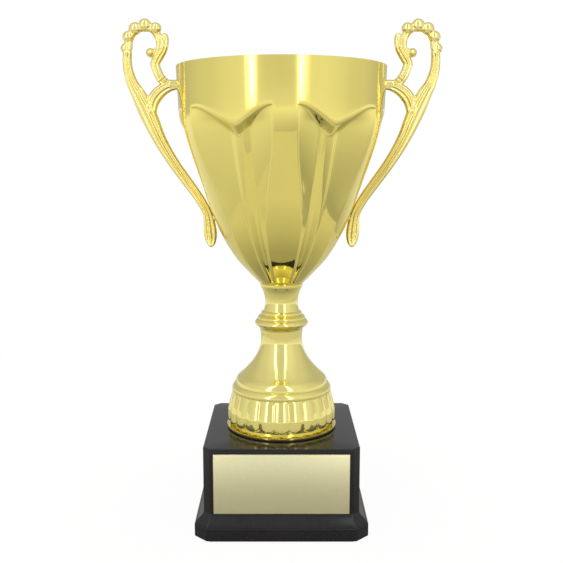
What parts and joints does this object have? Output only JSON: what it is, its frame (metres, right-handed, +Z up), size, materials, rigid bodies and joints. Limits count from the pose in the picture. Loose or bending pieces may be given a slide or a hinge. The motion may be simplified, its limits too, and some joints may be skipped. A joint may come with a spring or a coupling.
{
  "type": "cup trophy",
  "caption": "Gold two-handled cup trophy: fluted bowl with scroll handles on a turned stem and lobed foot, black square plinth with a blank plate.",
  "frame": {"origin": "centre of the felt's underside, where the trophy stands", "axes": "+Z up the stem to the rim of the bowl; the name plate faces -Y; the handles stand at -X and +X"},
  "size_m": [0.2138, 0.14, 0.3398],
  "materials": {
    "gold_bowl": "pale lemon gold, lacquered and mirror polished",
    "gold_handle": "warm bright gold plate on a die casting",
    "gold_stem": "pale lemon gold, mirror polished",
    "plinth_black": "moulded gloss black",
    "plate_gold": "satin pale gold anodised sheet",
    "steel_hardware": "zinc plated",
    "ballast_iron": "rough cast",
    "hardboard": "pressed board",
    "felt_black": "felt",
    "foam_black": "soft foam ring",
    "adhesive_white": "double-sided adhesive sheet"
  },
  "bodies": {
    "root": {"bowl": "gold_bowl", "handle_left": "gold_handle", "handle_right": "gold_handle", "handle_screws": "steel_hardware", "handle_washers": "steel_hardware", "clamp_washer": "steel_hardware", "cap_nut": "steel_hardware", "stem_neck": "gold_stem", "stem_bell": "gold_stem", "foot_ring": "foam_black", "tie_rod": "steel_hardware", "plinth": "plinth_black", "ballast_block": "ballast_iron", "rod_washer": "steel_hardware", "lock_washer": "steel_hardware", "rod_nut": "steel_hardware", "bottom_cover": "hardboard", "cover_screws": "steel_hardware", "felt_pad": "felt_black", "name_plate": "plate_gold", "plate_adhesive": "adhesive_white"}
  },
  "joints": []
}
